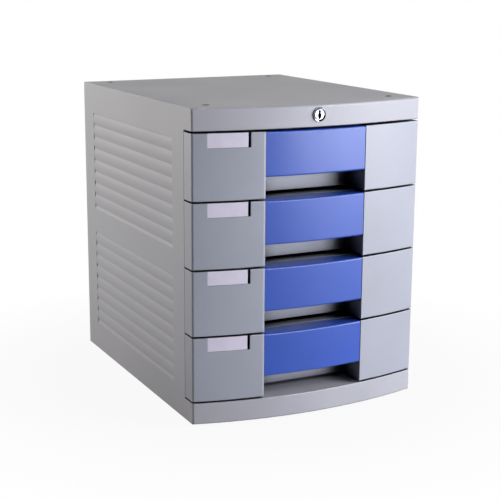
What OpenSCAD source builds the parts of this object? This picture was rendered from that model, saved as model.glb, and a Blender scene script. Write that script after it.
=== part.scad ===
// Desktop file cabinet: a moulded plastic casing with four locking drawers.
// All lengths are millimetres, X runs to the right, Y to the back and Z up.
// Every piece is drawn in the casing's own axes, where y = 0 is the plane of the
// two front corners and z = 0 is the underside of the plinth, and in_frame()
// then moves it so that the origin lies under the middle of the whole cabinet.

/* [Casing] */
// Width of the casing
case_w = 272; // [250:1:310]
// Depth of the casing at its sides
case_d = 331; // [310:1:380]
// How far the middle of the front bows out past its corners
front_bow = 19; // [12:0.5:26]
// Thickness of the side panels
side_t = 3.2; // [2.8:0.1:4]
// Thickness of the top cover
top_t = 2.8; // [2:0.1:3.2]
// Thickness of the back panel
back_t = 2.5; // [2:0.1:3.5]
// Thickness of the base's deck
deck_t = 2.6; // [2.2:0.1:4]
// Thickness of the bowed walls of the lock rail and the plinth
rail_wall_t = 2.6; // [2:0.1:3.5]
// Height of the plinth under the lowest drawer
plinth_h = 23.2; // [20:0.1:34]
// Height of the lock rail over the highest drawer
lock_rail_h = 23.5; // [21:0.1:30]
// Depth of the floor of the lock rail behind the front corners
lock_rail_d = 20; // [12:0.5:26]
// Radius of the two upright front corners
corner_r = 2.6; // [1.5:0.1:4]
// Radius of the rounded top edge of the lock rail
lid_edge_r = 3; // [1:0.1:5]
// Radius of the rear top edge
back_edge_r = 2.6; // [1:0.1:2.8]
// How deep the back panel sits in the side panels
rebate = 1.2; // [0.6:0.1:1.6]

/* [Side panel reeds] */
// Height of one reed
reed_pitch = 14.3; // [10:0.1:14.8]
// Reeds in each of the two fields of a side panel
reeds = 8; // [4:1:8]
// Depth of the grooves between the reeds
reed_depth = 0.7; // [0.6:0.1:1.6]
// Height of the slope that leads out of a field's lowest groove
reed_slope = 4; // [2:0.1:6]
// Distance of the reeds from the front corners
reed_front = 50.8; // [40:0.1:70]
// Length of the reeds
reed_len = 247; // [180:1:250]
// Height of the lower field's bottom edge
reed_low = 37.4; // [30:0.1:40]
// Plain strip between the two fields
reed_break = 33.6; // [20:0.1:34]

/* [Drawer fronts] */
// Height of a drawer front
front_h = 69.8; // [66:0.1:80]
// Gap under each drawer front
front_gap = 1.85; // [1.2:0.05:3]
// Gap between the highest drawer front and the lock rail
lid_gap = 2.2; // [1.2:0.05:3]
// Wall of the drawer fronts
front_t = 2.2; // [1.8:0.1:2.6]
// How far a drawer front reaches back along the casing's sides
return_d = 19.5; // [18:0.1:26]
// Gap between that return and the side panel
seam_gap = 0.6; // [0.4:0.05:1.2]
// Radius of the long edges of the fronts
front_edge_r = 0.8; // [0.3:0.1:1.2]

/* [Handles] */
// Width of the handle opening in a drawer front
handle_w = 119.3; // [90:0.1:130]
// Height of the coloured pull
pull_h = 47.2; // [40:0.1:50]
// Wall of the pull
pull_t = 2.2; // [1.8:0.1:3]
// Depth of the pull's top face, from the front
pull_top_d = 23.6; // [18:0.1:28]
// How far the pull's face lies behind the drawer front's face
pull_inset = 0.4; // [0.2:0.1:1]
// Gap at each end of the pull
pull_end_gap = 0.35; // [0.2:0.05:0.6]
// Radius of the pull's top and bottom edges
pull_edge_r = 1.6; // [0.5:0.1:2]
// Depth of the finger lip along the pull's lower edge
pull_lip_d = 9; // [5:0.5:12]
// Depth of the handle recess, from the front
recess_d = 37; // [34:0.1:38]
// Thickness of the wall at the back of the recess
recess_wall_t = 2; // [1.5:0.1:3]
// Width of the tongues that hold the pull under the drawer front's rim
pull_tongue_w = 20; // [10:1:30]

/* [Label] */
// Width of the label
label_w = 42.2; // [30:0.1:44]
// Height of the label
label_h = 15.4; // [12:0.1:18]
// Distance of the label from the cabinet's side
label_side = 15.9; // [12:0.1:18]
// Depth of the label's pocket, which is open at the front's top edge
label_pocket = 0.8; // [0.5:0.05:1]
// Thickness of the label card
card_t = 0.4; // [0.2:0.05:0.4]
// Gap round the label card
card_gap = 0.2; // [0.1:0.05:0.4]
// Width of the slit at the inner end of the label
slit_w = 2.5; // [1.5:0.1:4]

/* [Drawer trays] */
// Wall of the trays
tray_t = 2; // [1.8:0.1:2.6]
// Gap between a tray and the side panels
tray_gap = 1.4; // [1:0.1:2]
// Height of a tray's underside over its drawer front's lower edge
tray_lift = 1.6; // [1.4:0.1:2.4]
// Depth of a tray's upper edge under its drawer front's upper edge
tray_drop = 1.5; // [1.2:0.1:3]
// Radius of the trays' upright corners
tray_corner_r = 5; // [3:0.5:8]
// How far a drawer slides out
travel = 235; // [150:1:250]

/* [Runners] */
// Width of the ledges that the trays slide on
runner_w = 6; // [4:0.1:7]
// Thickness of the ledges
runner_t = 2.2; // [1.6:0.1:2.4]
// Running gap between a tray and its ledges
slide_gap = 0.3; // [0.2:0.05:0.5]
// Width of the stop at the front of a ledge
stop_w = 8; // [5:0.5:10]
// Length of the stop and of the lug that meets it
stop_len = 6; // [4:0.5:10]
// Height of the lug under the tray
stop_lug_h = 1.8; // [1.2:0.1:2]

/* [Lock] */
// Diameter of the lock's bezel
bezel_d = 14.8; // [14.5:0.1:16]
// How far the bezel stands proud
bezel_proud = 1.6; // [1:0.1:2.5]
// Diameter of the lock barrel
barrel_d = 12.8; // [12.2:0.1:13]
// Length of the lock barrel behind the face of the rail
barrel_len = 21; // [16:0.5:24]
// Diameter of the lock plug
plug_d = 10.4; // [9.5:0.1:10.8]
// Radial running gap round the plug and the rod
turn_gap = 0.05; // [0.03:0.01:0.1]
// Height of the keyhole
key_h = 8.6; // [6:0.1:9]
// Greatest width of the keyhole
key_w = 3.6; // [2:0.1:4]
// Depth of the lock's axis under the cabinet's top
lock_drop = 10.7; // [10.4:0.1:13]
// Distance of the nut's flats
nut_flats = 15; // [14.4:0.1:15.2]
// Thickness of the nut
nut_t = 3; // [2:0.1:5]
// Diameter of the rod that runs to the back
rod_d = 5; // [4:0.1:6]
// Radius of the crank at the rod's rear end
crank_r = 4.6; // [3.8:0.1:4.8]
// Diameter of the crank pin
pin_d = 2.5; // [2:0.1:3]

/* [Locking bar] */
// Width of the locking bar
bar_w = 12; // [10:0.5:14]
// Thickness of the locking bar
bar_t = 2.5; // [2:0.1:2.6]
// Gap between the bar and what guides it
bar_gap = 0.3; // [0.2:0.05:0.4]
// Width of a hook
hook_w = 8; // [6:0.5:9]
// Thickness of a hook
hook_t = 3; // [2:0.1:3.2]
// Gap between a hook and the tray's back wall
hook_gap = 1; // [0.6:0.1:1.5]
// Width of the notch for a hook in a tray's back wall
notch_w = 14; // [12:0.5:20]
// Depth of that notch
notch_h = 14; // [13:0.5:20]

/* [Feet] */
// Diameter of the rubber feet
foot_d = 9; // [7:0.5:11]
// How far the feet stand proud of the plinth
foot_proud = 1.5; // [1:0.1:3]
// Depth of their sockets
foot_socket = 3; // [2:0.1:6]
// Distance of the feet from the cabinet's sides
foot_side = 26; // [20:0.5:34]
// Distance of the front feet from the front corners
foot_front = 22.6; // [20:0.1:28]
// Distance of the rear feet from the back
foot_back = 21; // [18:0.5:28]
// Depth of the stacking dimples in the top
dimple_depth = 1; // [0.5:0.1:1.5]

/* [Screws] */
// Diameter of the screws' shanks
screw_d = 3; // [2.5:0.1:3.2]
// Diameter of their countersunk heads
head_d = 6; // [5.4:0.1:6.4]
// Height of their heads
head_h = 1.7; // [1.4:0.1:1.8]
// Length of the screws
screw_len = 11; // [9:0.5:12]

/* [Hidden] */
$fn = 64;

// Colours of the pieces
shell_grey = [0.66, 0.67, 0.70];
front_grey = [0.70, 0.71, 0.75];
tray_grey = [0.60, 0.61, 0.64];
pull_blue = [0.34, 0.43, 0.80];
card_white = [0.90, 0.89, 0.95];
chrome = [0.82, 0.83, 0.85];
steel = [0.60, 0.61, 0.63];
rubber = [0.12, 0.12, 0.13];
bar_grey = [0.50, 0.51, 0.53];

// Small overlap that makes cuts run clean through
cut = 1;
// How far the forms that are cut to the cabinet's outline reach past it
spare = 6;

// The casing, with a back panel that drops between the sides
drawers = 4;
panel_gap = 0.05;
pitch = front_h + front_gap;
case_h = plinth_h + front_gap + drawers * pitch - front_gap + lid_gap + lock_rail_h;
half_w = case_w / 2;
inner_half = half_w - side_t;
lid_z = case_h - lock_rail_h;
top_under = case_h - top_t;
deck_under = plinth_h - deck_t;
back_in = case_d - back_t;
seam_y = return_d + seam_gap;

// The bow of the front is one arc through both corners and the middle
bow_r = (half_w * half_w + front_bow * front_bow) / (2 * front_bow);
bow_y = bow_r - front_bow;
bow_depth = 70;
function bow_at(x, inset = 0) = bow_y - sqrt(pow(bow_r - inset, 2) - x * x);

// The upright corners touch the bow and the casing's side
corner_x = half_w - corner_r;
corner_y = bow_y - sqrt(pow(bow_r - corner_r, 2) - corner_x * corner_x);
corner_turn = atan2(corner_y - bow_y, corner_x);
corner_steps = 8;
overshoot = 1.5;
function corner_point(a) = [corner_x + corner_r * cos(a), corner_y + corner_r * sin(a)];

// Drawers, counted from the top
function drawer_z(i) = plinth_h + front_gap + (drawers - i) * pitch;
function front_top(i) = drawer_z(i) + front_h;
function tray_z(i) = drawer_z(i) + tray_lift;
function tray_top(i) = front_top(i) - tray_drop;
tray_back_gap = 1.1;
recess_y = recess_d - front_bow;
tray_y = recess_y + recess_wall_t;
bar_y = back_in - bar_gap - bar_t;
tray_back = bar_y - tray_back_gap;
tray_half = inner_half - tray_gap;
tray_in_y = tray_y + tray_t;
pull_back = pull_top_d - front_bow;
handle_half = handle_w / 2;
tongue_x = [-36, 0, 36];
tongue_t = 1.6;
tongue_root = 6;
tongue_reach = 8;

// The label card's play in its pocket, and how far the slit beside it reaches past the wall
card_play = 0.05;
slit_spare = 0.6;

// Screws of a drawer front, either side of the middle
boss_x = 97;
boss_low = 14;
boss_high = 43;
boss_d = 7;
boss_root = 1.3;
pilot_gap = 0.05;
pilot_spare = 0.5;
head_gap = 0.1;

// The lock
lock_z = case_h - lock_drop;
bezel_seat = 0.2;
bezel_round = 0.9;
bezel_gap = 0.2;
nut_gap = 0.3;
barrel_gap = 0.1;
bezel_front = -front_bow - bezel_proud;
barrel_end = barrel_len - front_bow;
plug_sink = 0.4;
plug_over = 4;
plug_end = barrel_end + plug_over;
keyhole_d = 7;
clip_t = 0.9;
clip_y = barrel_end + 0.2;
clip_groove = 0.8;
clip_play = 0.1;
clip_rim = 1.5;
clip_mouth = plug_d * 0.64;
rod_seat = 8;
rod_front = plug_end - rod_seat;
rod_play = 0.5;
crank_t = 2.5;
crank_web = 2.4;
crank_back = 4;
crank_y = tray_back - crank_back;
crank_angle = 45;
stroke = 2 * crank_r * sin(crank_angle);
pin_gap = 0.25;
hanger_t = 3;
hanger_w = 14;
hanger_rim = 2.5;
hanger_back = 12;
hanger_y = crank_y - hanger_back;

// The locking bar, drawn raised, where the drawers are free
hook_lift = 1;
hook_tip = stroke - 0.5;
hook_y = tray_back - tray_t - hook_gap;
slot_wall = 2;
slot_z = lock_z + crank_r * sin(crank_angle);
bar_top = slot_z + pin_d / 2 + pin_gap + slot_wall;
bar_bottom = tray_top(drawers) - notch_h;
guide_wall = 2.4;
lip_t = 1;
lip_over = 1.4;
lip_rise = 0.9;
lip_h = 3.2;
guide_h = 20;

// Feet and stacking dimples share their places
foot_boss_wall = 3;
dimple_gap = 0.2;
foot_places = [
    for (side = [-1, 1]) for (y = [foot_front, case_d - foot_back]) [side * (half_w - foot_side), y]
];

// Ribs and shallow fields that stiffen the casing
lid_rib_x = [-84, -42, 42, 84];
lid_rib_t = 1.8;
lid_rib_h = 6;
lid_rib_start = 12;
lid_rib_y = lock_rail_d - lid_rib_start;
base_rib_x = [-70, 0, 70];
base_rib_y = [110, 220];
base_rib_t = 2;
base_rib_h = 6;
field_d = 0.8;
field_side = 18;
field_rise = 10;
field_drop = 26;
field_low = plinth_h + field_rise;
field_high = top_under - field_drop;
field_break = 16;
field_rib_x = [-72, -24, 24, 72];
field_rib_w = 6;

// Play of the ledges, lugs and stops
runner_inset = 2;
stop_gap = 0.5;

// Screws of the casing
lug_y = 45;
lug_places = [lug_y, case_d - lug_y];
lug_w = 14;
lug_reach = 12;
lug_t = 4;
gusset_t = 2;
gusset_h = 8;
lid_boss_h = 8;
back_screw_x = [-100, -45, 45, 100];
back_block = 9;
back_block_len = 13;

module in_frame() {
    depth = case_d + front_bow + bezel_proud;
    translate([0, -depth / 2 + bezel_proud + front_bow, foot_proud]) children();
}

// A box given by its lowest and highest corners
module block(low, high) {
    translate(low) cube(high - low);
}

// What is cut away outside a round corner whose centre is at the origin
module corner_waste(r) {
    difference() {
        square(r + cut);
        circle(r);
    }
}

// The section of a bowed wall, with its outer long edges rounded
module bow_section(outer, thick, z0, z1, low_r, high_r) {
    difference() {
        translate([outer - thick, z0]) square([thick, z1 - z0]);
        if (high_r > 0) translate([outer - high_r, z1 - high_r]) corner_waste(high_r);
        if (low_r > 0) translate([outer - low_r, z0 + low_r]) mirror([0, 1]) corner_waste(low_r);
    }
}

// A wall that follows the bow, wider than the cabinet
module bow_wall(z0, z1, inset, thick, low_r = 0, high_r = 0) {
    span = 2 * asin((half_w + spare) / (bow_r - inset - thick));
    translate([0, bow_y, 0]) rotate([0, 0, -90 - span / 2])
        rotate_extrude(angle = span, $fn = 360)
            bow_section(bow_r - inset, thick, z0, z1, low_r, high_r);
}

// The plan of the front between its rounded corners, left open towards the viewer
module front_plan(y1) {
    turn = [for (k = [0:corner_steps]) corner_point(corner_turn * k / corner_steps)];
    last = turn[corner_steps];
    past = last + overshoot * (last - turn[corner_steps - 1]) / norm(last - turn[corner_steps - 1]);
    right = concat([[half_w, y1]], turn, [past, [past.x, -front_bow - spare]]);
    left = [for (k = [len(right) - 1:-1:0]) [-right[k].x, right[k].y]];
    polygon(concat(right, left));
}

// The full-width bowed form that the drawer fronts, lock rail and plinth are cut from
module bowed_form(z0, z1, y1, low_r, high_r) {
    intersection() {
        bow_wall(z0, z1, 0, bow_depth, low_r, high_r);
        translate([0, 0, z0 - cut]) linear_extrude(z1 - z0 + 2 * cut) front_plan(y1);
    }
}

// A rectangle with round corners, given by its extreme sides
module round_plan(x0, x1, y0, y1, r) {
    translate([x0 + r, y0]) square([x1 - x0 - 2 * r, y1 - y0]);
    translate([x0, y0 + r]) square([x1 - x0, y1 - y0 - 2 * r]);
    for (x = [x0 + r, x1 - r]) for (y = [y0 + r, y1 - r]) translate([x, y]) circle(r);
}

// A countersunk screw that points down, with the face of its head at z = 0
module screw() {
    translate([0, 0, -head_h]) cylinder(h = head_h, d1 = screw_d, d2 = head_d);
    translate([0, 0, -screw_len]) cylinder(h = screw_len - head_h / 2, d = screw_d);
}

// The hole for a screw through a wall, countersunk
module screw_way(wall) {
    wide = head_d + 2 * head_gap;
    narrow = screw_d + 2 * head_gap;
    translate([0, 0, -head_h]) cylinder(h = head_h, d1 = narrow, d2 = wide);
    translate([0, 0, -wall - cut]) cylinder(h = wall + cut, d = narrow);
    cylinder(h = cut, d = wide);
}

// The blind hole that a screw bites in, under a wall of the given thickness
module pilot(wall) {
    translate([0, 0, -screw_len - pilot_spare])
        cylinder(h = screw_len + pilot_spare - wall + cut, d = screw_d + 2 * pilot_gap);
}

// Where the casing's screws go: up through the lugs, down through the deck and in from the back
module at_lid_screws() {
    for (side = [-1, 1]) for (y = lug_places)
        translate([side * (inner_half - lug_reach / 2), y, top_under - lid_boss_h - lug_t])
            rotate([180, 0, 0]) children();
}

module at_deck_screws() {
    for (side = [-1, 1]) for (y = lug_places)
        translate([side * (inner_half - lug_reach / 2), y, plinth_h]) children();
}

module at_back_screws(z) {
    for (x = back_screw_x) translate([x, case_d, z]) rotate([-90, 0, 0]) children();
}

back_screw_high = top_under - back_block / 2;
back_screw_low = deck_under - back_block / 2;

module top_cover() {
    color(shell_grey) in_frame() difference() {
        union() {
            block([-inner_half, corner_y + lid_edge_r, top_under], [inner_half, case_d, case_h]);
            lock_rail();
            lid_ribs();
            for (side = [-1, 1]) for (y = lug_places)
                translate([side * (inner_half - lug_reach / 2), y, top_under - lid_boss_h])
                    cylinder(h = lid_boss_h + cut, d = boss_d);
            for (x = back_screw_x)
                block([x - back_block / 2, back_in - back_block_len, top_under - back_block],
                      [x + back_block / 2, back_in, top_under + cut]);
        }
        at_lid_screws() pilot(lug_t);
        at_back_screws(back_screw_high) pilot(back_t);
        lock_hole();
        translate([-half_w, 0, 0]) rotate([90, 0, 90]) linear_extrude(case_w) rear_edge_waste();
        for (place = foot_places)
            translate([place.x, place.y, case_h - dimple_depth])
                cylinder(h = dimple_depth + cut, d = foot_d + 2 * dimple_gap);
    }
}

// The bowed rail over the drawers, hollow behind its face
module lock_rail() {
    difference() {
        bowed_form(lid_z, case_h, lock_rail_d, front_edge_r, lid_edge_r);
        intersection() {
            bow_wall(lid_z + rail_wall_t, top_under, rail_wall_t, bow_depth);
            block([-inner_half, -front_bow, lid_z], [inner_half, lock_rail_d + cut, case_h]);
        }
        for (side = [-1, 1]) scale([side, 1, 1])
            block([inner_half, corner_y, lid_z - cut],
                  [half_w + cut, lock_rail_d + cut, case_h + cut]);
    }
}

// Stiffening ribs under the cover, and the hanger that carries the lock rod
module lid_ribs() {
    for (x = lid_rib_x)
        block([x - lid_rib_t / 2, lid_rib_y, top_under - lid_rib_h],
              [x + lid_rib_t / 2, back_in - back_block_len + cut, top_under + cut]);
    difference() {
        block([-hanger_w / 2, hanger_y, lock_z - rod_d / 2 - hanger_rim],
              [hanger_w / 2, hanger_y + hanger_t, top_under + cut]);
        translate([0, hanger_y - cut, lock_z]) rotate([-90, 0, 0])
            cylinder(h = hanger_t + 2 * cut, d = rod_d + 2 * turn_gap);
    }
}

// The bore for the barrel, with flat seats for the bezel in front and the nut behind
module lock_hole() {
    translate([0, -front_bow - cut, lock_z]) rotate([-90, 0, 0]) {
        cylinder(h = rail_wall_t + 2 * cut, d = barrel_d + 2 * barrel_gap);
        cylinder(h = cut + bezel_seat, d = bezel_d + 2 * bezel_gap);
        translate([0, 0, cut + rail_wall_t - bezel_seat])
            cylinder(h = cut + bezel_seat, d = nut_flats / cos(30) + 2 * nut_gap);
    }
}

module side_panel(side, shade) {
    color(shade) in_frame() scale([side, 1, 1]) difference() {
        union() {
            translate([inner_half, 0, 0]) rotate([90, 0, 90]) linear_extrude(side_t) side_outline();
            for (i = [1:drawers]) runner(i);
            for (y = lug_places) {
                lug(y, deck_under - lug_t);
                lug(y, top_under - lid_boss_h - lug_t);
            }
        }
        for (k = [0, 1]) reed_field(reed_low + k * (reeds * reed_pitch + reed_break));
        block([inner_half - cut, back_in, -cut], [inner_half + rebate, case_d + cut, top_under]);
        at_lid_screws() screw_way(lug_t);
        at_deck_screws() pilot(deck_t);
    }
}

// The side panel reaches to the front corners over and under the drawers
module side_outline() {
    difference() {
        polygon([
            [corner_y, 0], [case_d, 0], [case_d, case_h], [corner_y, case_h],
            [corner_y, lid_z], [seam_y, lid_z], [seam_y, plinth_h], [corner_y, plinth_h]
        ]);
        rear_edge_waste();
    }
}

// What the rounded rear top edge leaves away, drawn with y across and z up
module rear_edge_waste() {
    translate([case_d - back_edge_r, case_h - back_edge_r]) corner_waste(back_edge_r);
}

// A field of convex reeds whose crests are level with the panel, as the hollow round them,
// with the slope under the lowest reed
module reed_field(z0) {
    reed_r = (reed_pitch * reed_pitch / 4 + reed_depth * reed_depth) / (2 * reed_depth);
    difference() {
        block([half_w - reed_depth, reed_front, z0],
              [half_w + cut, reed_front + reed_len, z0 + reeds * reed_pitch]);
        for (k = [0:reeds - 1])
            translate([half_w - reed_r, reed_front - cut, z0 + (k + 0.5) * reed_pitch])
                rotate([-90, 0, 0]) cylinder(h = reed_len + 2 * cut, r = reed_r, $fn = 240);
    }
    translate([0, reed_front + reed_len, 0]) rotate([90, 0, 0]) linear_extrude(reed_len)
        polygon([
            [half_w - reed_depth, z0], [half_w, z0 - reed_slope],
            [half_w + cut, z0 - reed_slope], [half_w + cut, z0]
        ]);
}

// The ledge that a tray slides on, with the stop that keeps the drawer in
module runner(i) {
    top = tray_z(i) - slide_gap;
    edge = inner_half - runner_w;
    front = seam_y + runner_inset;
    block([edge, front, top - runner_t], [inner_half + cut, back_in - runner_inset, top]);
    block([edge - stop_w, front, top - runner_t], [edge + cut, front + stop_len, top]);
}

// A lug for a casing screw, with a gusset under it
module lug(y, z0) {
    block([inner_half - lug_reach, y - lug_w / 2, z0], [inner_half + cut, y + lug_w / 2, z0 + lug_t]);
    translate([0, y + lug_w / 2, 0]) rotate([90, 0, 0]) linear_extrude(gusset_t)
        polygon([
            [inner_half + cut, z0 + cut], [inner_half - lug_reach, z0 + cut],
            [inner_half - lug_reach, z0], [inner_half, z0 - gusset_h], [inner_half + cut, z0 - gusset_h]
        ]);
}

module left_side_panel() {
    side_panel(-1, shell_grey);
}

module right_side_panel() {
    side_panel(1, shell_grey);
}

module back_panel() {
    wide = inner_half + rebate - panel_gap;
    color(shell_grey) in_frame() difference() {
        union() {
            block([-wide, back_in, 0], [wide, case_d, top_under]);
            for (i = [2:drawers]) bar_guide(tray_top(i));
        }
        at_back_screws(back_screw_high) screw_way(back_t);
        at_back_screws(back_screw_low) screw_way(back_t);
        back_field(field_low, (case_h - field_break) / 2);
        back_field((case_h + field_break) / 2, field_high);
    }
}

// A shallow field that stiffens the back, with upright ribs left standing in it
module back_field(z0, z1) {
    edge = inner_half - field_side;
    difference() {
        block([-edge, case_d - field_d, z0], [edge, case_d + cut, z1]);
        for (x = field_rib_x)
            block([x - field_rib_w / 2, case_d - field_d - cut, z0 - cut],
                  [x + field_rib_w / 2, case_d + 2 * cut, z1 + cut]);
    }
}

// Two posts that steer the locking bar, with lips over its edges between the trays
module bar_guide(z) {
    post = bar_w / 2 + bar_gap;
    lip_y = bar_y - bar_gap;
    low = z + lip_rise;
    high = low + lip_h;
    for (side = [-1, 1]) scale([side, 1, 1]) {
        block([post, bar_y, high - guide_h], [post + guide_wall, back_in + cut, high]);
        block([post - lip_over, lip_y - lip_t, low], [post + guide_wall, lip_y, high]);
        block([post, lip_y - lip_t, low], [post + guide_wall, back_in + cut, high]);
    }
}

module base_plinth() {
    color(shell_grey) in_frame() difference() {
        union() {
            block([-inner_half, corner_y + rail_wall_t, deck_under], [inner_half, back_in, plinth_h]);
            plinth_front();
            base_ribs();
            for (place = foot_places) translate([place.x, place.y, 0])
                cylinder(h = deck_under + cut, d = foot_d + 2 * foot_boss_wall);
            for (x = back_screw_x)
                block([x - back_block / 2, back_in - back_block_len, deck_under - back_block],
                      [x + back_block / 2, back_in, deck_under + cut]);
        }
        at_deck_screws() screw_way(deck_t);
        at_back_screws(back_screw_low) pilot(back_t);
        for (place = foot_places) translate([place.x, place.y, -cut])
            cylinder(h = foot_socket + cut, d = foot_d + 2 * pilot_gap);
    }
}

// The bowed skirt of the plinth, open underneath
module plinth_front() {
    difference() {
        bowed_form(0, plinth_h, lock_rail_d, front_edge_r, front_edge_r);
        intersection() {
            bow_wall(-cut, deck_under, rail_wall_t, bow_depth);
            block([-inner_half, -front_bow, -cut], [inner_half, lock_rail_d + cut, case_h]);
        }
        for (side = [-1, 1]) scale([side, 1, 1])
            block([inner_half, corner_y, -cut], [half_w + cut, lock_rail_d + cut, plinth_h + cut]);
    }
}

// Ribs under the deck, clear of the feet and the screws
module base_ribs() {
    low = deck_under - base_rib_h;
    for (x = base_rib_x)
        block([x - base_rib_t / 2, bow_at(x, rail_wall_t) - rail_wall_t / 2, low],
              [x + base_rib_t / 2, back_in, deck_under + cut]);
    for (y = base_rib_y)
        block([-inner_half, y - base_rib_t / 2, low],
              [inner_half, y + base_rib_t / 2, deck_under + cut]);
}

module rubber_feet() {
    color(rubber) in_frame() for (place = foot_places)
        translate([place.x, place.y, -foot_proud]) cylinder(h = foot_proud + foot_socket, d = foot_d);
}

module casing_screws() {
    color(steel) in_frame() {
        at_lid_screws() screw();
        at_deck_screws() screw();
        at_back_screws(back_screw_high) screw();
        at_back_screws(back_screw_low) screw();
    }
}

// Turns a form that is drawn along z to lie along y, on the lock's axis
module on_lock_axis(y) {
    translate([0, y, lock_z]) rotate([-90, 0, 0]) children();
}

module lock_barrel() {
    bezel_r = bezel_d / 2;
    color(chrome) in_frame() difference() {
        union() {
            on_lock_axis(bezel_front) rotate_extrude() difference() {
                square([bezel_r, bezel_proud + bezel_seat]);
                translate([bezel_r - bezel_round, bezel_round]) mirror([0, 1])
                    corner_waste(bezel_round);
            }
            on_lock_axis(bezel_front + cut) cylinder(h = barrel_end - bezel_front - cut, d = barrel_d);
        }
        on_lock_axis(bezel_front - cut)
            cylinder(h = barrel_end - bezel_front + 2 * cut, d = plug_d + 2 * turn_gap);
    }
}

module lock_nut() {
    color(steel) in_frame() on_lock_axis(-front_bow + rail_wall_t - bezel_seat) difference() {
        cylinder(h = nut_t, d = nut_flats / cos(30), $fn = 6);
        translate([0, 0, -cut]) cylinder(h = nut_t + 2 * cut, d = barrel_d + 2 * pilot_gap);
    }
}

module lock_plug() {
    face = bezel_front + plug_sink;
    color(chrome) in_frame() difference() {
        on_lock_axis(face) cylinder(h = plug_end - face, d = plug_d);
        on_lock_axis(rod_front) cylinder(h = plug_end - rod_front + cut, d = rod_d + 2 * turn_gap);
        on_lock_axis(clip_y) difference() {
            cylinder(h = clip_t + clip_play, d = plug_d + cut);
            translate([0, 0, -cut]) cylinder(h = clip_t + 2 * cut, d = plug_d - 2 * clip_groove);
        }
        translate([0, face + keyhole_d, lock_z]) rotate([90, 0, 0])
            linear_extrude(keyhole_d + cut) keyhole();
    }
}

// A keyhole that is narrow above and pointed below
module keyhole() {
    polygon([
        [-key_w * 0.28, key_h * 0.5], [key_w * 0.28, key_h * 0.5], [key_w * 0.28, key_h * 0.12],
        [key_w * 0.5, -key_h * 0.06], [key_w * 0.3, -key_h * 0.38], [0, -key_h * 0.5],
        [-key_w * 0.3, -key_h * 0.38], [-key_w * 0.5, -key_h * 0.06], [-key_w * 0.28, key_h * 0.12]
    ]);
}

// A spring clip that keeps the plug in the barrel, open at one side
module lock_clip() {
    color(steel) in_frame() on_lock_axis(clip_y) difference() {
        cylinder(h = clip_t, d = plug_d + 2 * clip_rim);
        translate([0, 0, -cut])
            cylinder(h = clip_t + 2 * cut, d = plug_d - 2 * clip_groove + 2 * pilot_gap);
        translate([-clip_mouth / 2, 0, -cut]) cube([clip_mouth, plug_d, clip_t + 2 * cut]);
    }
}

module lock_rod() {
    color(steel) in_frame() {
        on_lock_axis(rod_front + rod_play)
            cylinder(h = crank_y + crank_t - rod_front - rod_play, d = rod_d);
        on_lock_axis(crank_y) rotate([0, 0, -crank_angle]) {
            translate([0, -crank_web, 0]) cube([crank_r, 2 * crank_web, crank_t]);
            cylinder(h = crank_t, r = crank_web + 1);
            translate([crank_r, 0, 0]) cylinder(h = crank_t, r = crank_web);
            translate([crank_r, 0, 0]) cylinder(h = back_in - bar_gap - crank_y, d = pin_d);
        }
    }
}

module locking_bar() {
    slot_h = pin_d + 2 * pin_gap;
    slot_x0 = crank_r * cos(crank_angle) - pin_gap;
    slot_x1 = crank_r + pin_gap;
    color(bar_grey) in_frame() {
        difference() {
            union() {
                block([-bar_w / 2, bar_y, bar_bottom], [bar_w / 2, bar_y + bar_t, bar_top]);
                block([0, bar_y, slot_z - slot_h / 2 - slot_wall],
                      [slot_x1 + slot_h / 2 + slot_wall, bar_y + bar_t, bar_top]);
            }
            translate([0, bar_y - cut, slot_z]) rotate([-90, 0, 0]) {
                translate([slot_x0, 0, 0]) cylinder(h = bar_t + 2 * cut, d = slot_h);
                translate([slot_x1, 0, 0]) cylinder(h = bar_t + 2 * cut, d = slot_h);
                translate([slot_x0, -slot_h / 2, 0])
                    cube([slot_x1 - slot_x0, slot_h, bar_t + 2 * cut]);
            }
        }
        for (i = [1:drawers]) hook(tray_top(i) - notch_h + hook_lift);
    }
}

// A hook that reaches over the tray's back wall, its tip hanging inside the tray
module hook(z) {
    translate([-hook_w / 2, 0, 0]) rotate([90, 0, 90]) linear_extrude(hook_w) polygon([
        [bar_y + bar_t / 2, z + hook_tip], [hook_y, z + hook_tip], [hook_y, z],
        [hook_y - hook_t / 2, z], [hook_y - hook_t, z + hook_t / 2],
        [hook_y - hook_t, z + hook_tip + hook_t], [bar_y + bar_t / 2, z + hook_tip + hook_t]
    ]);
}

module drawer_tray(i) {
    color(tray_grey) in_frame() difference() {
        union() {
            translate([0, 0, tray_z(i)]) linear_extrude(tray_top(i) - tray_z(i))
                round_plan(-tray_half, tray_half, tray_y, tray_back, tray_corner_r);
            for (side = [-1, 1]) scale([side, 1, 1]) stop_lug(i);
        }
        translate([0, 0, tray_z(i) + tray_t]) linear_extrude(front_h)
            round_plan(-tray_half + tray_t, tray_half - tray_t, tray_in_y, tray_back - tray_t,
                       tray_corner_r - tray_t);
        block([-notch_w / 2, tray_back - tray_t - cut, tray_top(i) - notch_h],
              [notch_w / 2, tray_back + cut, tray_top(i) + cut]);
        at_front_screws(i) screw_way(tray_t);
    }
}

// The lug that meets the runner's stop when the drawer is out
module stop_lug(i) {
    edge = inner_half - runner_w - stop_gap;
    y0 = seam_y + runner_inset + stop_len + travel + stop_gap;
    block([edge - stop_w + 2 * stop_gap, y0, tray_z(i) - stop_lug_h],
          [edge, y0 + stop_len, tray_z(i) + cut]);
}

module at_front_screws(i) {
    for (x = [-boss_x, boss_x]) for (z = [boss_low, boss_high])
        translate([x, tray_in_y, drawer_z(i) + z]) rotate([-90, 0, 0]) children();
}

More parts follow.
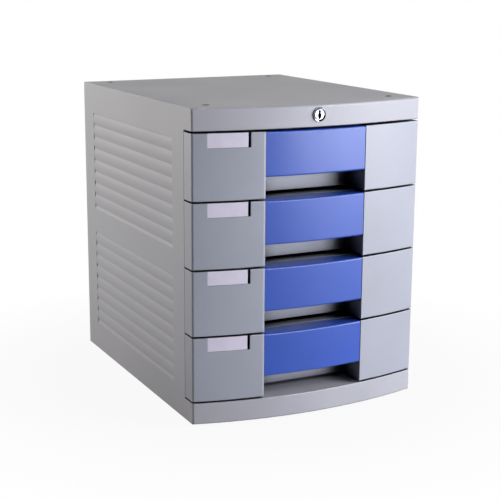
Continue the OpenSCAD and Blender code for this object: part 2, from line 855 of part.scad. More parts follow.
module drawer_front(i) {
    z0 = drawer_z(i);
    z1 = front_top(i);
    color(front_grey) in_frame() difference() {
        union() {
            difference() {
                bowed_form(z0, z1, return_d, front_edge_r, front_edge_r);
                cheek_hollow(z0 + front_t, z1 - front_t);
                block([-handle_half, -front_bow - cut, z0 - cut],
                      [handle_half, return_d + cut, z1 + cut]);
                block([-half_w + front_t, tray_y, z0 - cut],
                      [half_w - front_t, tray_y + return_d, z1 + cut]);
            }
            handle_frame(z0, z1);
            front_bosses(z0);
        }
        at_front_screws(i) pilot(tray_t);
        label_cut(z1 - label_h, z1 + cut);
    }
}

// The hollow behind each of the two cheeks of a drawer front
module cheek_hollow(z0, z1) {
    intersection() {
        bow_wall(z0, z1, front_t, bow_depth);
        for (side = [-1, 1]) scale([side, 1, 1])
            block([handle_half + front_t, -front_bow, z0 - cut],
                  [half_w - front_t, return_d + cut, z1 + cut]);
    }
}

// The back wall and the top rim of the handle recess, between the two cheeks
module handle_frame(z0, z1) {
    reach = handle_half + front_t / 2;
    block([-reach, recess_y, z0 + tray_lift], [reach, tray_y, z1]);
    block([-reach, pull_back, z1 - front_t], [reach, tray_y, z1]);
}

// Bosses from the back of the cheeks' faces to the tray
module front_bosses(z0) {
    for (x = [-boss_x, boss_x]) for (z = [boss_low, boss_high])
        translate([x, bow_at(x) + boss_root, z0 + z]) rotate([-90, 0, 0])
            cylinder(h = tray_y - bow_at(x) - boss_root, d = boss_d);
}

// The pocket for the label card and the slit beside it, which runs through the wall
module label_cut(z0, z1) {
    x0 = -half_w + label_side;
    x1 = x0 + label_w;
    intersection() {
        bow_wall(z0 - cut, z1 + cut, -spare, spare + label_pocket);
        block([x0, -front_bow - spare, z0], [x1, return_d, z1]);
    }
    intersection() {
        bow_wall(z0 - cut, z1 + cut, -spare, spare + front_t + slit_spare);
        block([x1, -front_bow - spare, z0], [x1 + slit_w, return_d, z1]);
    }
}

module drawer_label(i) {
    x0 = -half_w + label_side + card_gap;
    x1 = -half_w + label_side + label_w - card_gap;
    z0 = front_top(i) - label_h + card_gap;
    z1 = front_top(i) - card_gap;
    color(card_white) in_frame() intersection() {
        bow_wall(z0, z1, label_pocket - card_t - card_play, card_t);
        block([x0, -front_bow, z0 - cut], [x1, return_d, z1 + cut]);
    }
}

module drawer_screws(i) {
    color(steel) in_frame() at_front_screws(i) screw();
}

// The pull is a bowed panel with a top face, a finger lip and closed ends
module drawer_pull(i) {
    top = front_top(i) - pull_inset;
    low = front_top(i) - pull_h;
    half = handle_half - pull_end_gap;
    color(pull_blue) in_frame() {
        difference() {
            intersection() {
                bow_wall(low, top, pull_inset, bow_depth, pull_edge_r, pull_edge_r);
                block([-half, -front_bow - cut, low - cut], [half, pull_back, top + cut]);
            }
            intersection() {
                bow_wall(low + pull_t, top - pull_t, pull_inset + pull_t, bow_depth);
                block([-half + pull_t, -front_bow, low], [half - pull_t, pull_back + cut, top]);
            }
            difference() {
                block([-half + pull_t, -front_bow, low - cut],
                      [half - pull_t, pull_back + cut, low + pull_t + cut]);
                bow_wall(low - 2 * cut, low + pull_t + 2 * cut, 0, pull_lip_d);
            }
        }
        for (x = tongue_x) pull_tongue(x, front_top(i) - front_t);
    }
}

// A tongue that holds the pull under the rim behind it
module pull_tongue(x, z) {
    block([x - pull_tongue_w / 2, pull_back - tongue_root, z - tongue_t],
          [x + pull_tongue_w / 2, pull_back + tongue_reach, z]);
}

top_cover();
left_side_panel();
right_side_panel();
back_panel();
base_plinth();
rubber_feet();
casing_screws();
lock_barrel();
lock_nut();
lock_plug();
lock_clip();
lock_rod();
locking_bar();
drawer_tray(1);  // drawer_1_tray
drawer_front(1);  // drawer_1_front
drawer_pull(1);  // drawer_1_pull
drawer_label(1);  // drawer_1_label
drawer_screws(1);  // drawer_1_screws
drawer_tray(2);  // drawer_2_tray
drawer_front(2);  // drawer_2_front
drawer_pull(2);  // drawer_2_pull
drawer_label(2);  // drawer_2_label
drawer_screws(2);  // drawer_2_screws
drawer_tray(3);  // drawer_3_tray
drawer_front(3);  // drawer_3_front
drawer_pull(3);  // drawer_3_pull
drawer_label(3);  // drawer_3_label
drawer_screws(3);  // drawer_3_screws
drawer_tray(4);  // drawer_4_tray
drawer_front(4);  // drawer_4_front
drawer_pull(4);  // drawer_4_pull
drawer_label(4);  // drawer_4_label
drawer_screws(4);  // drawer_4_screws
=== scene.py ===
import math

import bmesh
import bpy
from mathutils import Matrix, Vector


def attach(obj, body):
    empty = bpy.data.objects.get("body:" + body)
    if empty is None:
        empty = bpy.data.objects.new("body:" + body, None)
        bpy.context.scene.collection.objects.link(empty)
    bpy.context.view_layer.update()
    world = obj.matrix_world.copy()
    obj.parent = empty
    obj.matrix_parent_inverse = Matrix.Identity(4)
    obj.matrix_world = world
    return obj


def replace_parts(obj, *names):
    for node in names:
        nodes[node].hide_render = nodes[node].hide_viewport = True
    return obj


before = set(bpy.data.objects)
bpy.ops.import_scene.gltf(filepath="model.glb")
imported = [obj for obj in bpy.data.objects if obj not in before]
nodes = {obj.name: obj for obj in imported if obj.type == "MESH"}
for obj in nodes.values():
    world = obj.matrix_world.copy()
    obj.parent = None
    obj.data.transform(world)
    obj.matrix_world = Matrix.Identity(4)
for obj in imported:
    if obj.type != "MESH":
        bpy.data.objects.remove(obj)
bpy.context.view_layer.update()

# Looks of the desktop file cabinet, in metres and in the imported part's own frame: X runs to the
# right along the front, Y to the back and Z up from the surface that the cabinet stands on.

DRAWERS = (1, 2, 3, 4)
MM = 0.001

# The camera of the photograph: its place in metres, its angles in degrees, and its lens
CAMERA_PLACE = (-0.6189, -1.2578, 0.4692)
CAMERA_YAW = 25.268
CAMERA_PITCH = 12.980
CAMERA_ROLL = -0.080
CAMERA_LENS_MM = 86.69
CAMERA_SHIFT = 0.05
SENSOR_MM = 36.0

# Sizes of the part that the pieces made here repeat, in millimetres and in the cabinet's axes,
# where y = 0 is the plane of the front corners and z = 0 is the underside of the plinth
AXES_Y = -155.2
AXES_Z = 1.5

# The screws, and where they stand in the casing and in the drawers
HEAD_R = 3.0
HEAD_H = 1.7
SHANK_R = 1.5
SCREW_LEN = 11.0
DECK_Z = 23.2
LUG_X = 126.8
LUG_Y = (45, 286)
LID_SCREW_Z = 320.7
BACK_Y = 331
BACK_SCREW_X = (-100, -45, 45, 100)
BACK_SCREW_Z = (16.1, 328.2)
FRONT_SCREW_X = (-97, 97)
FRONT_SCREW_Y = 22
FRONT_SCREW_RISE = (14, 43)
LOWEST_DRAWER_Z = 25.05
DRAWER_PITCH = 71.65

# How far from the middle a drawer front's cheeks end at its handle recess
CHEEK_X = 59.65

# The lock
LOCK_Z = 324.8
BEZEL_FRONT_Y = -20.6
BEZEL_R = 7.4
BEZEL_H = 1.8
BORE_R = 5.25
BARREL_R = 6.4
BARREL_LEN = 22.6
THREAD_FROM = 5.0
PLUG_FACE_Y = -20.2
KEYHOLE_DEPTH = 7.0
KEY_H = 8.6
KEY_W = 3.6


def place(x, y, z):
    """A point of the cabinet's axes, in the frame and in metres."""
    return Vector((x, y + AXES_Y, z + AXES_Z)) * MM


# ---------------------------------------------------------------- shader helpers

# Rays that a rounded edge or a dirt mask takes at each point
MASK_SAMPLES = 8

# The sockets of a colour mix node
MIX_FACTOR, MIX_FIRST, MIX_SECOND, MIX_RESULT = 0, 6, 7, 2

# The cosine between the rounded and the plain normal, at an edge and on an open face
EDGE_COSINES = (0.80, 0.995)


def add(tree, kind, inputs=None, **settings):
    """A shader node with its settings, and its inputs set to values or linked to sockets."""
    node = tree.nodes.new(kind)
    for key, value in settings.items():
        setattr(node, key, value)
    for key, value in (inputs or {}).items():
        if isinstance(value, bpy.types.NodeSocket):
            tree.links.new(value, node.inputs[key])
        else:
            node.inputs[key].default_value = value
    return node


def new_tree(name):
    """A new material and its empty node tree."""
    material = bpy.data.materials.new(name)
    material.use_nodes = True
    material.node_tree.nodes.clear()
    return material, material.node_tree


def own_coords(tree):
    """The piece's own coordinates, in metres."""
    return add(tree, "ShaderNodeTexCoord").outputs["Object"]


def noise(tree, scale, detail=2.0, roughness=0.5, stretch=(1, 1, 1)):
    """Noise in the piece's own coordinates, with scale in cells per metre."""
    placing = {"Vector": own_coords(tree), "Scale": stretch}
    mapped = add(tree, "ShaderNodeMapping", placing).outputs["Vector"]
    inputs = {"Vector": mapped, "Scale": scale, "Detail": detail, "Roughness": roughness}
    return add(tree, "ShaderNodeTexNoise", inputs).outputs["Fac"]


def spread(tree, value, low, high, start=0.3, end=0.7):
    """Maps a value from start..end to low..high, clamped. The defaults suit noise."""
    inputs = {"Value": value, "From Min": start, "From Max": end, "To Min": low, "To Max": high}
    return add(tree, "ShaderNodeMapRange", inputs).outputs[0]


def math_node(tree, operation, first, second):
    """A sum, a maximum or another operation on two values."""
    return add(tree, "ShaderNodeMath", {0: first, 1: second}, operation=operation).outputs[0]


def product(tree, first, second):
    """Two values multiplied."""
    return math_node(tree, "MULTIPLY", first, second)


def axis_value(tree, coords, axis):
    """One coordinate of a vector: X, Y or Z."""
    return add(tree, "ShaderNodeSeparateXYZ", {0: coords}).outputs[axis]


def tinted(tree, colour, factor):
    """A colour multiplied by a grey factor."""
    channels = {"Red": factor, "Green": factor, "Blue": factor}
    grey = add(tree, "ShaderNodeCombineColor", channels).outputs[0]
    return add(tree, "ShaderNodeMix", {MIX_FACTOR: 1.0, MIX_FIRST: (*colour, 1), MIX_SECOND: grey},
               data_type="RGBA", blend_type="MULTIPLY").outputs[MIX_RESULT]


def mixed(tree, factor, first, second):
    """A blend of two colours, each a socket or a value."""
    first, second = (c if isinstance(c, bpy.types.NodeSocket) else (*c, 1) for c in (first, second))
    return add(tree, "ShaderNodeMix", {MIX_FACTOR: factor, MIX_FIRST: first, MIX_SECOND: second},
               data_type="RGBA").outputs[MIX_RESULT]


def paler(colour, gain, lift):
    """A colour as it looks where it is rubbed."""
    return [min(1.0, c * gain + lift) for c in colour]


def rounded_normal(tree, radius):
    """The surface normal with every edge softened to a small radius."""
    return add(tree, "ShaderNodeBevel", {"Radius": radius}, samples=MASK_SAMPLES).outputs[0]


def edge_mask(tree, radius):
    """1 along the edges, 0 on open faces."""
    normal = add(tree, "ShaderNodeNewGeometry").outputs["Normal"]
    facing = add(tree, "ShaderNodeVectorMath", {0: rounded_normal(tree, radius), 1: normal},
                 operation="DOT_PRODUCT").outputs["Value"]
    return spread(tree, facing, 1.0, 0.0, *EDGE_COSINES)


def painted_occlusion_shade(tree, reach, darkest, closed, clear):
    """Painted shade from ambient occlusion: darkest where the open share is below closed, 1 where it
    passes clear.
    """
    open_share = add(tree, "ShaderNodeAmbientOcclusion", {"Distance": reach},
                     samples=MASK_SAMPLES).outputs["AO"]
    return spread(tree, open_share, darkest, 1.0, closed, clear)


def bumped(tree, layers, edge=None):
    """A normal from bumps over soft edges, each bump a (height socket, depth in metres, strength)."""
    normal = rounded_normal(tree, edge) if edge is not None else None
    for height, depth, strength in layers:
        inputs = {"Height": height, "Distance": depth, "Strength": strength}
        if normal is not None:
            inputs["Normal"] = normal
        normal = add(tree, "ShaderNodeBump", inputs).outputs[0]
    return normal


def finish_material(tree, inputs):
    """Ends a tree with a Principled shader."""
    shader = add(tree, "ShaderNodeBsdfPrincipled", inputs)
    add(tree, "ShaderNodeOutputMaterial", {"Surface": shader.outputs[0]})


# ---------------------------------------------------------------- materials

# The radius of moulded edges in general, of the drawer fronts' edges, of the rubbed band along an
# edge, and of the roll from a front's left cheek into its recess
SOFT_EDGE = 0.5 * MM
FRONT_EDGE = 0.9 * MM
RUBBED_EDGE = 0.9 * MM
CHEEK_ROLL = 3.6 * MM

# Where that roll fades in and out, in millimetres from the cheek's edge
ROLL_IN = (-5, -4)
ROLL_OUT = (0.1, 0.6)

# How wide the gaps and the hollows are that get painted shade
GAP_SHADE_REACH = 5 * MM
HOLLOW_SHADE_REACH = 32 * MM

# Noise cells across one grain of a moulded surface
CELLS_PER_GRAIN = 1.6

# The colour of the dust on dull pieces
DUST = (0.16, 0.155, 0.15)


def cheek_radius(tree):
    """A drawer front's edge radius: small, but wide where the left cheek rolls into the recess."""
    x = axis_value(tree, own_coords(tree), "X")
    fade_in = spread(tree, x, 0.0, 1.0, *((offset - CHEEK_X) * MM for offset in ROLL_IN))
    fade_out = spread(tree, x, 1.0, 0.0, *((offset - CHEEK_X) * MM for offset in ROLL_OUT))
    return spread(tree, product(tree, fade_in, fade_out), FRONT_EDGE, CHEEK_ROLL, 0.0, 1.0)


def moulded_plastic(name, colour, rough, specular, grain_mm=0.45, edge=None, hollow_shade=None):
    """Moulded ABS: fine eroded grain, slow waves, paler rubbed edges, and painted shade in gaps and
    hollows.
    """
    material, tree = new_tree(name)
    mottle = noise(tree, 11, detail=4, roughness=0.55)
    flow = noise(tree, 3.5)
    speck = noise(tree, CELLS_PER_GRAIN / (grain_mm * MM), detail=1)
    tone = product(tree, spread(tree, mottle, 0.96, 1.04), spread(tree, speck, 0.975, 1.025))
    # Painted shade: narrow gaps between parts turn near black, from ambient occlusion over a few
    # millimetres
    painted_gap_shade = painted_occlusion_shade(tree, GAP_SHADE_REACH, darkest=0.03, closed=0.3, clear=0.8)
    tone = product(tree, tone, painted_gap_shade)
    # Painted shade: deep recesses, such as a front's handle recess, darkened towards near black by
    # ambient occlusion over a few centimetres
    if hollow_shade:
        painted_hollow_shade = painted_occlusion_shade(tree, HOLLOW_SHADE_REACH, darkest=hollow_shade, closed=0.47, clear=0.69)
        tone = product(tree, tone, painted_hollow_shade)
    worn = product(tree, edge_mask(tree, RUBBED_EDGE), 0.10)
    base = tinted(tree, colour, tone)
    pale = tinted(tree, paler(colour, gain=1.18, lift=0.015), tone)
    roughness = math_node(tree, "ADD", spread(tree, mottle, rough - 0.05, rough + 0.05),
                          spread(tree, flow, -0.03, 0.03))
    bumps = [(speck, 0.012 * MM, 0.35), (noise(tree, 24), 0.05 * MM, 0.25)]
    finish_material(tree, {
        "Base Color": mixed(tree, worn, base, pale),
        "Roughness": roughness,
        "Specular IOR Level": specular,
        "Normal": bumped(tree, bumps, edge(tree) if edge else SOFT_EDGE)})
    return material


def blue_plastic(name, colour):
    """The pulls: a smoother, semi-gloss blue plastic with a faint orange peel."""
    material, tree = new_tree(name)
    cloud = noise(tree, 16, detail=3)
    base = tinted(tree, colour, spread(tree, cloud, 0.96, 1.04))
    worn = product(tree, edge_mask(tree, 0.8 * MM), 0.25)
    bumps = [(noise(tree, 520), 0.012 * MM, 0.2), (noise(tree, 30), 0.06 * MM, 0.2)]
    finish_material(tree, {
        "Base Color": mixed(tree, worn, base, paler(colour, gain=1.15, lift=0.03)),
        "Roughness": spread(tree, noise(tree, 60, detail=3), 0.34, 0.39),
        "Specular IOR Level": 0.5,
        "Coat Weight": 0.1,
        "Coat Roughness": 0.2,
        "Normal": bumped(tree, bumps, 0.4 * MM)})
    return material


def paper(name, colour):
    """Smooth card with a slight fibre grain."""
    material, tree = new_tree(name)
    fibre = noise(tree, 1400, detail=4, roughness=0.6, stretch=(1, 1, 3))
    cloud = noise(tree, 90, detail=3)
    finish_material(tree, {
        "Base Color": tinted(tree, colour, spread(tree, cloud, 0.97, 1.03)),
        "Roughness": spread(tree, fibre, 0.55, 0.7),
        "Specular IOR Level": 0.3,
        "Normal": bumped(tree, [(fibre, 0.01 * MM, 0.3)])})
    return material


def plated(name, colour, rough, brushed=(1, 1, 1)):
    """Bright metal plating with fine wear marks."""
    material, tree = new_tree(name)
    marks = noise(tree, 900, detail=5, roughness=0.65, stretch=brushed)
    stain = noise(tree, 260, detail=3)
    finish_material(tree, {
        "Base Color": tinted(tree, colour, spread(tree, stain, 0.9, 1.05)),
        "Metallic": 1.0,
        "Roughness": spread(tree, marks, rough * 0.7, rough * 1.4),
        "Normal": bumped(tree, [(marks, 0.006 * MM, 0.25)])})
    return material


def dull(name, colour, dusty):
    """Dull dark stuff such as rubber, a little dusty in its grain."""
    material, tree = new_tree(name)
    grain = noise(tree, 1500, detail=3)
    dust = noise(tree, 300, detail=4)
    finish_material(tree, {
        "Base Color": mixed(tree, spread(tree, dust, 0.0, dusty), colour, DUST),
        "Roughness": spread(tree, grain, 0.75, 0.9),
        "Specular IOR Level": 0.3,
        "Normal": bumped(tree, [(grain, 0.03 * MM, 0.5)])})
    return material


CASING = moulded_plastic("casing_plastic", (0.368, 0.367, 0.401), rough=0.48, specular=0.42)
# The fronts' plastic, with painted shade deep in their handle recesses
FRONT = moulded_plastic("front_plastic", (0.312, 0.324, 0.372), rough=0.41, specular=0.50,
                        edge=cheek_radius, hollow_shade=0.03)
TRAY = moulded_plastic("tray_plastic", (0.31, 0.31, 0.325), rough=0.55, specular=0.35, grain_mm=0.6)
BAR = moulded_plastic("bar_plastic", (0.22, 0.22, 0.23), rough=0.5, specular=0.4)
PULL = blue_plastic("pull_plastic", (0.024, 0.074, 0.388))
CARD = paper("label_card", (0.615, 0.575, 0.672))
CHROME = plated("lock_chrome", (0.42, 0.42, 0.45), rough=0.12)
SATIN = plated("satin_chrome", (0.34, 0.34, 0.36), rough=0.30)
STEEL = plated("zinc_steel", (0.62, 0.62, 0.64), rough=0.3, brushed=(1, 6, 1))
RUBBER = dull("foot_rubber", (0.022, 0.022, 0.024), dusty=0.25)
# Near-black that paints the shade inside the keyhole, with a trace of dust
KEYWAY_SHADE = dull("keyway_painted_shade", (0.006, 0.006, 0.007), dusty=0.02)


# ---------------------------------------------------------------- carried-over nodes

def dress(name, material):
    """Gives a carried-over node its material."""
    for slot in nodes[name].material_slots:
        slot.link = "OBJECT"
        slot.material = material


for name in ("top_cover", "left_side_panel", "right_side_panel", "back_panel", "base_plinth"):
    dress(name, CASING)
for name in ("lock_nut", "lock_clip", "lock_rod"):
    dress(name, STEEL)
dress("lock_plug", SATIN)
dress("locking_bar", BAR)
dress("rubber_feet", RUBBER)
for i in DRAWERS:
    dress(f"drawer_{i}_tray", TRAY)
    dress(f"drawer_{i}_front", FRONT)
    dress(f"drawer_{i}_pull", PULL)
    dress(f"drawer_{i}_label", CARD)


# ---------------------------------------------------------------- pieces made here

# Edges that turn more than this stay sharp
SHARP = math.radians(38)

# A screw's cross recess in millimetres: half the width of an arm, its length and the depth
ARM_HALF_W = 0.45
ARM_LEN = 1.55
RECESS_DEPTH = 1.2

# A screw's thread in millimetres: its root and its crest, its lead, and the rings in one turn
SCREW_ROOT_R = SHANK_R * 0.76
SCREW_CREST_R = SHANK_R * 0.96
SCREW_LEAD = 1.25
RINGS_PER_TURN = 6

# How far before a screw's full length its thread ends, its last ring lies and its tip is
THREAD_SHORT = 1.4
LAST_RING_SHORT = 0.5
TIP_SHORT = 0.1

# The rim of the lock's barrel in millimetres: the radius of its crest, the depth of its dish, the
# rounding of its corners, and how deep the first ring on the wall of the bore lies
CREST_R = 7.05
DISH_H = 1.0
RIM_ROUND = 0.1
BORE_RING = 1.4

# The barrel's thread in millimetres, and how many flats go round the barrel
BARREL_PITCH = 0.8
BARREL_THREAD_H = 0.28
BARREL_THREAD_SHORT = 0.6
BARREL_CHAMFER = 0.4
BARREL_FLATS = 64

# The right half of the keyhole from its top down, in shares of its width and height
KEYHOLE_HALF = ((0.28, 0.5), (0.28, 0.12), (0.5, -0.06), (0.3, -0.38), (0, -0.5))

# The keyhole's shade liner, in shares of the keyhole across and up: outside, inside and round its lip
GUIDE_OUTER = (0.97, 0.97)
GUIDE_INNER = (0.86, 0.86)
GUIDE_LIP = (1.28, 1.12)

# The shade liner in millimetres: its lip's gap to the plug's face, how far it stands out from that
# face, its bevel, the gap behind it and its end wall
LIP_GAP = 0.02
LIP_OUT = 0.12
LIP_BEVEL = 0.04
GUIDE_GAP = 0.1
GUIDE_WALL = 0.3


def piece(name, mesh, material, body):
    """A finished piece that rides on a body."""
    obj = bpy.data.objects.new(name, mesh)
    bpy.context.scene.collection.objects.link(obj)
    mesh.materials.append(material)
    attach(obj, body)
    return obj


def finished_mesh(name, bm, smooth):
    """The mesh of a closed surface, shaded smooth up to its sharp edges or else flat."""
    bmesh.ops.recalc_face_normals(bm, faces=bm.faces)
    if smooth:
        for face in bm.faces:
            face.smooth = True
        for edge in bm.edges:
            edge.smooth = edge.calc_face_angle() < SHARP
    mesh = bpy.data.meshes.new(name)
    bm.to_mesh(mesh)
    bm.free()
    return mesh


def cross_radius(angle):
    """The outline of a cross recess as its distance from the middle, in millimetres."""
    off = (angle + math.pi / 4) % (math.pi / 2) - math.pi / 4
    if abs(math.tan(off)) <= ARM_HALF_W / ARM_LEN:
        return ARM_LEN / math.cos(off)
    return ARM_HALF_W / abs(math.sin(off))


def screw_angles():
    """Angles round a screw, which meet the corners of its cross recess."""
    corner = math.degrees(math.atan2(ARM_HALF_W, ARM_LEN))
    on_arm = (-corner, -corner / 2, 0, corner / 2, corner)
    between_arms = (25, 35, 45, 55, 65)
    steps = on_arm + between_arms
    return [math.radians(quarter * 90 + step) for quarter in range(4) for step in steps]


def screw_rings(angles):
    """Rings of (radius, height) points of a screw that points down, from its recess to its tip."""
    rings = [[(cross_radius(a) * share, z) for a in angles]
             for share, z in ((0.35, -1.15), (0.62, -1.05), (1.0, -0.04))]
    head = ((HEAD_R * 0.62, 0.0), (HEAD_R * 0.93, -0.02), (HEAD_R * 0.975, -0.10),
            (SCREW_CREST_R, -HEAD_H))
    rings += [[(r, z) for a in angles] for r, z in head]
    step = SCREW_LEAD / RINGS_PER_TURN
    z = -HEAD_H - step
    while z > -SCREW_LEN + THREAD_SHORT:
        ring = []
        for a in angles:
            phase = (z / SCREW_LEAD + a / (2 * math.pi)) % 1
            ridge = max(0.0, 1 - abs(phase - 0.5) * 4)
            ring.append((SCREW_ROOT_R + (SCREW_CREST_R - SCREW_ROOT_R) * ridge, z))
        rings.append(ring)
        z -= step
    rings.append([(SCREW_ROOT_R * 0.45, -SCREW_LEN + LAST_RING_SHORT) for a in angles])
    return rings


def add_screw(bm, turn):
    """Adds one screw to a mesh, with the matrix that turns it and puts it in its place."""
    angles = screw_angles()
    count = len(angles)
    rows = []
    for ring in screw_rings(angles):
        rows.append([bm.verts.new(turn @ Vector((r * math.cos(a), r * math.sin(a), z)))
                     for a, (r, z) in zip(angles, ring)])
    recess_floor = bm.verts.new(turn @ Vector((0, 0, -RECESS_DEPTH)))
    tip = bm.verts.new(turn @ Vector((0, 0, -SCREW_LEN + TIP_SHORT)))
    for k in range(count):
        n = (k + 1) % count
        bm.faces.new((recess_floor, rows[0][k], rows[0][n]))
        for inner, outer in zip(rows, rows[1:]):
            bm.faces.new((inner[k], outer[k], outer[n], inner[n]))
        bm.faces.new((rows[-1][k], tip, rows[-1][n]))


def screws(name, turns, body):
    """A node's screws as one piece with cross recesses and threads."""
    bm = bmesh.new()
    for turn in turns:
        add_screw(bm, turn)
    mesh = finished_mesh(name, bm, smooth=True)
    return piece(name, mesh, STEEL, body)


def screw_turn(x, y, z, tilt, spin):
    """Where a screw goes: its head's middle, its tilt about X and how far it was driven."""
    return (Matrix.Translation(place(x, y, z)) @ Matrix.Rotation(math.radians(tilt), 4, "X")
            @ Matrix.Rotation(math.radians(spin), 4, "Z") @ Matrix.Scale(MM, 4))


def casing_screw_turns():
    """The casing's screws, up through the lugs, down through the deck and in from the back.

    Each spin follows from the screw's place, so that no two crosses stand alike.
    """
    turns = []
    for side in (-1, 1):
        for y in LUG_Y:
            turns.append(screw_turn(side * LUG_X, y, LID_SCREW_Z, 180, 20 + y))
            turns.append(screw_turn(side * LUG_X, y, DECK_Z, 0, 50 + side * y))
    for x in BACK_SCREW_X:
        for z in BACK_SCREW_Z:
            turns.append(screw_turn(x, BACK_Y, z, -90, x * 1.7 + z))
    return turns


def drawer_screw_turns(i):
    """The screws that hold a drawer's front to its tray, driven from inside the tray."""
    low = LOWEST_DRAWER_Z + (DRAWERS[-1] - i) * DRAWER_PITCH
    return [screw_turn(x, FRONT_SCREW_Y, low + rise, -90, x * 1.3 + rise + 31 * i)
            for x in FRONT_SCREW_X for rise in FRONT_SCREW_RISE]


def barrel_profile():
    """The section of the lock's barrel, as radius and depth behind the front of its rim."""
    profile = [(BORE_R, BORE_RING), (BORE_R, DISH_H + RIM_ROUND), (BORE_R + RIM_ROUND, DISH_H),
               (CREST_R - RIM_ROUND, 0.04), (CREST_R, 0.0), (CREST_R + RIM_ROUND, 0.05),
               (BEZEL_R - 0.05, 0.55), (BEZEL_R, 0.7), (BEZEL_R, BEZEL_H),
               (BARREL_R, BEZEL_H), (BARREL_R, THREAD_FROM)]
    depth = THREAD_FROM
    while depth + BARREL_PITCH < BARREL_LEN - BARREL_THREAD_SHORT:
        profile += [(BARREL_R - BARREL_THREAD_H, depth + BARREL_PITCH / 2),
                    (BARREL_R, depth + BARREL_PITCH)]
        depth += BARREL_PITCH
    return profile + [(BARREL_R - BARREL_CHAMFER, BARREL_LEN), (BORE_R, BARREL_LEN)]


def lock_bezel():
    """The lock's barrel, turned with a dished rim in front and a thread behind."""
    profile = barrel_profile()
    bm = bmesh.new()
    rings = []
    for k in range(BARREL_FLATS):
        a = 2 * math.pi * k / BARREL_FLATS
        points = [place(r * math.cos(a), BEZEL_FRONT_Y + depth, LOCK_Z + r * math.sin(a))
                  for r, depth in profile]
        rings.append([bm.verts.new(point) for point in points])
    for k in range(BARREL_FLATS):
        here, there = rings[k], rings[(k + 1) % BARREL_FLATS]
        for n in range(len(profile)):
            m = (n + 1) % len(profile)
            bm.faces.new((here[n], there[n], there[m], here[m]))
    mesh = finished_mesh("lock_bezel", bm, smooth=True)
    return piece("lock_bezel", mesh, CHROME, "cabinet")


def keyhole_points(across, up):
    """The outline of the keyhole in millimetres, scaled across and up."""
    right = [(KEY_W * x, KEY_H * z) for x, z in KEYHOLE_HALF]
    outline = right + [(-x, z) for x, z in reversed(right[:-1])]
    return [(x * across, z * up) for x, z in outline]


def keyway_shade_liner():
    """A near-black liner that paints the shade inside the keyhole: a lip on the plug's face, a thin
    wall and a closed end.
    """
    outer = keyhole_points(*GUIDE_OUTER)
    inner = keyhole_points(*GUIDE_INNER)
    lip = keyhole_points(*GUIDE_LIP)
    face = PLUG_FACE_Y - LIP_GAP
    front = PLUG_FACE_Y - LIP_OUT
    bevel = front + LIP_BEVEL
    back = PLUG_FACE_Y + KEYHOLE_DEPTH - GUIDE_GAP
    bm = bmesh.new()
    loops = [[bm.verts.new(place(x, y, LOCK_Z + z)) for x, z in points]
             for points, y in ((outer, back), (outer, face), (lip, face), (lip, bevel),
                               (outer, front), (inner, bevel), (inner, back - GUIDE_WALL))]
    count = len(outer)
    for first, second in zip(loops, loops[1:]):
        for k in range(count):
            n = (k + 1) % count
            bm.faces.new((first[k], first[n], second[n], second[k]))
    bm.faces.new(loops[0])
    bm.faces.new(loops[-1])
    mesh = finished_mesh("keyway_shade_liner", bm, smooth=False)
    return piece("keyway_shade_liner", mesh, KEYWAY_SHADE, "lock_rotor")


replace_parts(screws("cross_screws_casing", casing_screw_turns(), "cabinet"), "casing_screws")
for i in DRAWERS:
    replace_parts(screws(f"cross_screws_drawer_{i}", drawer_screw_turns(i), f"drawer_{i}"),
                f"drawer_{i}_screws")
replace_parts(lock_bezel(), "lock_barrel")
keyway_shade_liner()


# ---------------------------------------------------------------- studio

# The point that the lamps light, and how far from it they stand, in metres
LAMP_AIM = Vector((0, 0, 0.16))
LAMP_FAR = 2.2

# Each lamp's name, azimuth and elevation in degrees, width and height in metres, watts and colour
SOFTBOXES = (
    ("key_right", 39, 5, 1.6, 0.8, 54, (0.97, 0.99, 1.07)),
    ("high_right", 57, 28, 1.1, 0.8, 33, (1.0, 1.0, 1.0)),
    ("fill_left", -130, 12, 1.7, 1.1, 34, (1.03, 1.0, 0.95)),
)

# The floor: its corners' distance along X and Y in metres, the grey that takes the shadow, how much
# of it the white of the surroundings covers, and where it fades out, in metres from the middle
FLOOR_HALF = 8.0
FLOOR_GREY = (0.42, 0.42, 0.42, 1)
FLOOR_LIFT = 0.93
FLOOR_FADE = (0.22, 0.45)

# From where to where along Y reflections turn from the dark front of the studio to its white back:
# in metres on the floor, and as a part of the direction in the surroundings
FLOOR_TURNS_WHITE = (-0.3, 0.5)
WORLD_TURNS_WHITE = (-0.3, 0.3)


def softbox(name, azimuth, elevation, width, height, watts, colour):
    """A lamp that the camera doesn't see. Azimuth 0 is in front of the cabinet, 90 to its right."""
    az, el = math.radians(azimuth), math.radians(elevation)
    toward = Vector((math.sin(az) * math.cos(el), -math.cos(az) * math.cos(el), math.sin(el)))
    light = bpy.data.lights.new(name, "AREA")
    light.shape = "RECTANGLE"
    light.size = width
    light.size_y = height
    light.energy = watts
    light.color = colour
    obj = bpy.data.objects.new(name, light)
    bpy.context.scene.collection.objects.link(obj)
    obj.location = LAMP_AIM + LAMP_FAR * toward
    obj.rotation_euler = (-toward).to_track_quat("-Z", "Y").to_euler()
    obj.visible_camera = False


def white_share(tree, coords, turns_white):
    """The studio's white: full for the camera, and only behind for reflections and glass."""
    path = add(tree, "ShaderNodeLightPath").outputs
    mirrored = math_node(tree, "MAXIMUM", path["Is Glossy Ray"], path["Is Transmission Ray"])
    behind = spread(tree, axis_value(tree, coords, "Y"), 0.0, 1.0, *turns_white)
    return math_node(tree, "MAXIMUM", path["Is Camera Ray"], product(tree, mirrored, behind))


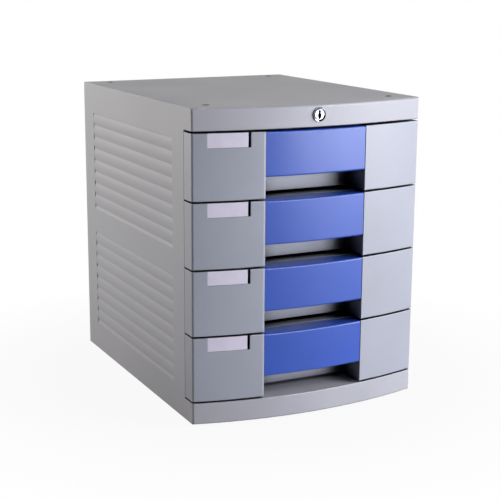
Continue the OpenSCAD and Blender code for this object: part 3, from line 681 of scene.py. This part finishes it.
def floor_material():
    """White that keeps the cabinet's shadow near it and fades into the white surroundings."""
    material, tree = new_tree("floor_white")
    matt = add(tree, "ShaderNodeBsdfDiffuse", {"Color": FLOOR_GREY}).outputs[0]
    white = add(tree, "ShaderNodeEmission", {"Strength": 1.0}).outputs[0]
    lifted = add(tree, "ShaderNodeMixShader", {0: FLOOR_LIFT, 1: matt, 2: white}).outputs[0]
    coords = own_coords(tree)
    distance = add(tree, "ShaderNodeVectorMath", {0: coords}, operation="LENGTH").outputs["Value"]
    far = spread(tree, distance, 0.0, 1.0, *FLOOR_FADE)
    shown = add(tree, "ShaderNodeMixShader", {0: far, 1: lifted, 2: white}).outputs[0]
    share = white_share(tree, coords, FLOOR_TURNS_WHITE)
    result = add(tree, "ShaderNodeMixShader", {0: share, 1: matt, 2: shown}).outputs[0]
    add(tree, "ShaderNodeOutputMaterial", {"Surface": result})
    return material


def make_floor():
    """The square floor that the cabinet stands on."""
    corners = [(x * FLOOR_HALF, y * FLOOR_HALF, 0) for x, y in ((-1, -1), (1, -1), (1, 1), (-1, 1))]
    mesh = bpy.data.meshes.new("floor")
    mesh.from_pydata(corners, [], [(0, 1, 2, 3)])
    mesh.materials.append(floor_material())
    floor = bpy.data.objects.new("floor", mesh)
    bpy.context.scene.collection.objects.link(floor)


def make_world():
    """White surroundings, which reflections show only behind: the studio is dark in front."""
    world = bpy.data.worlds.new("studio")
    bpy.context.scene.world = world
    world.use_nodes = True
    tree = world.node_tree
    tree.nodes.clear()
    direction = add(tree, "ShaderNodeTexCoord").outputs["Generated"]
    strength = white_share(tree, direction, WORLD_TURNS_WHITE)
    sky = add(tree, "ShaderNodeBackground", {"Color": (1, 1, 1, 1), "Strength": strength})
    add(tree, "ShaderNodeOutputWorld", {"Surface": sky.outputs[0]})


def make_camera():
    """The photograph's camera, from its place, its turn and its lens."""
    yaw, pitch, roll = (math.radians(a) for a in (CAMERA_YAW, CAMERA_PITCH, CAMERA_ROLL))
    forward = Vector((math.sin(yaw) * math.cos(pitch), math.cos(yaw) * math.cos(pitch),
                      -math.sin(pitch)))
    level = Vector((math.cos(yaw), -math.sin(yaw), 0))
    right = Matrix.Rotation(roll, 3, forward) @ level
    up = right.cross(forward)
    camera = bpy.data.objects.new("camera", bpy.data.cameras.new("camera"))
    bpy.context.scene.collection.objects.link(camera)
    axes = Matrix((right, up, -forward)).transposed().to_4x4()
    camera.matrix_world = Matrix.Translation(CAMERA_PLACE) @ axes
    camera.data.lens = CAMERA_LENS_MM
    camera.data.sensor_width = SENSOR_MM
    camera.data.shift_x = CAMERA_SHIFT
    bpy.context.scene.camera = camera


make_camera()
make_world()
make_floor()
for lamp in SOFTBOXES:
    softbox(*lamp)
bpy.context.scene.view_settings.view_transform = "Standard"
